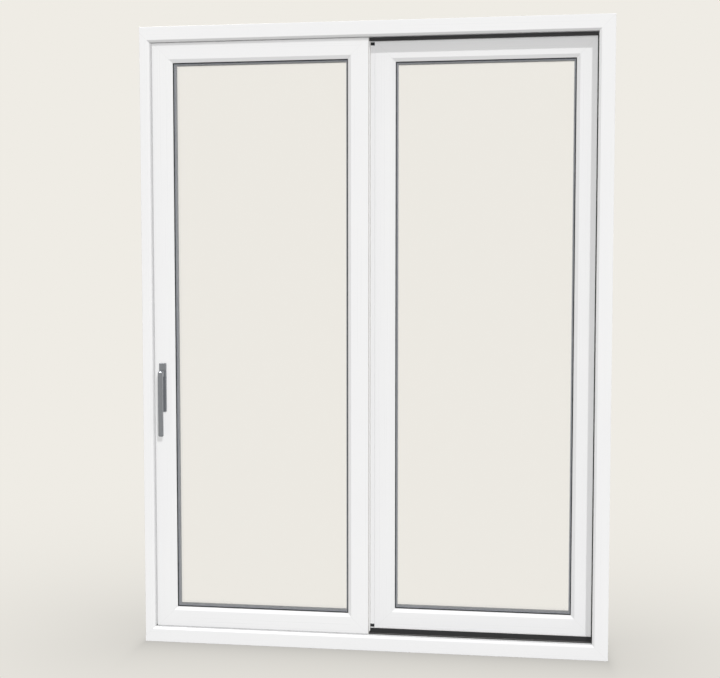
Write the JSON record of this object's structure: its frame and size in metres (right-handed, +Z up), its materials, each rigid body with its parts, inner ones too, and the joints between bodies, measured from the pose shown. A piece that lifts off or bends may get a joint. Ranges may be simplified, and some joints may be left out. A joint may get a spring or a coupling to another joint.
{
  "type": "sliding patio door",
  "caption": "Tall two-leaf sliding patio door: white plastic frame, triple glazing, one leaf that rolls sideways in front of a fixed leaf, lever handle on the lock stile.",
  "frame": {"origin": "middle of the sill's underside, at mid width and mid depth of the frame", "axes": "+Z up, +Y from the room to the outside, +X along the sill towards the fixed leaf, the way the sliding leaf opens"},
  "size_m": [1.572, 0.188, 2.1],
  "materials": {
    "white_pvc": "smooth extruded plastic, satin gloss",
    "clear_glass": "clear float glass",
    "black_rubber": "matt extruded rubber",
    "grey_spacer": "matt grey edge spacer",
    "black_insert": "matt black extrusion",
    "zinc_steel": "zinc plated steel",
    "nylon": "moulded nylon",
    "handle_metal": "silver-grey lacquer on die-cast zinc"
  },
  "bodies": {
    "frame": {"bottom_track": "black_insert", "far_jamb_lining": "black_insert", "fixed_bottom_rail": "white_pvc", "fixed_glass_spacers": "grey_spacer", "fixed_glazing_beads": "white_pvc", "fixed_interlock": "white_pvc", "fixed_jamb_stile": "white_pvc", "fixed_leaf_packers": "black_insert", "fixed_meeting_stile": "white_pvc", "fixed_middle_pane": "clear_glass", "fixed_outside_gasket": "black_rubber", "fixed_outside_pane": "clear_glass", "fixed_room_gasket": "black_rubber", "fixed_room_pane": "clear_glass", "fixed_top_rail": "white_pvc", "frame_far_jamb": "white_pvc", "frame_head": "white_pvc", "frame_lock_jamb": "white_pvc", "frame_sill": "white_pvc", "lock_jamb_lining": "white_pvc", "lock_strike_plates": "zinc_steel", "meeting_seal_blocks": "black_rubber", "rear_head_strip": "black_insert", "rear_sill_strip": "black_insert", "top_guide_track": "black_insert"},
    "sliding_leaf": {"handle_backplate": "handle_metal", "lock_faceplate": "zinc_steel", "roller_housings": "zinc_steel", "roller_wheels": "nylon", "sliding_bottom_rail": "white_pvc", "sliding_glass_spacers": "grey_spacer", "sliding_glazing_beads": "white_pvc", "sliding_interlock": "white_pvc", "sliding_lock_stile": "white_pvc", "sliding_meeting_stile": "white_pvc", "sliding_middle_pane": "clear_glass", "sliding_outside_gasket": "black_rubber", "sliding_outside_pane": "clear_glass", "sliding_room_gasket": "black_rubber", "sliding_room_pane": "clear_glass", "sliding_top_rail": "white_pvc", "top_guide_shoes": "nylon"},
    "handle": {"handle_lever": "handle_metal"}
  },
  "joints": [
    {"name": "leaf_slide", "type": "slide", "parent": "frame", "child": "sliding_leaf", "axis": [1, 0, 0], "range_m": [0, 0.7]},
    {"name": "lever_turn", "type": "hinge", "parent": "sliding_leaf", "child": "handle", "pos_m": [-0.7225, -0.0703, 0.93], "axis": [0, -1, 0], "range_deg": [0, 180]}
  ]
}
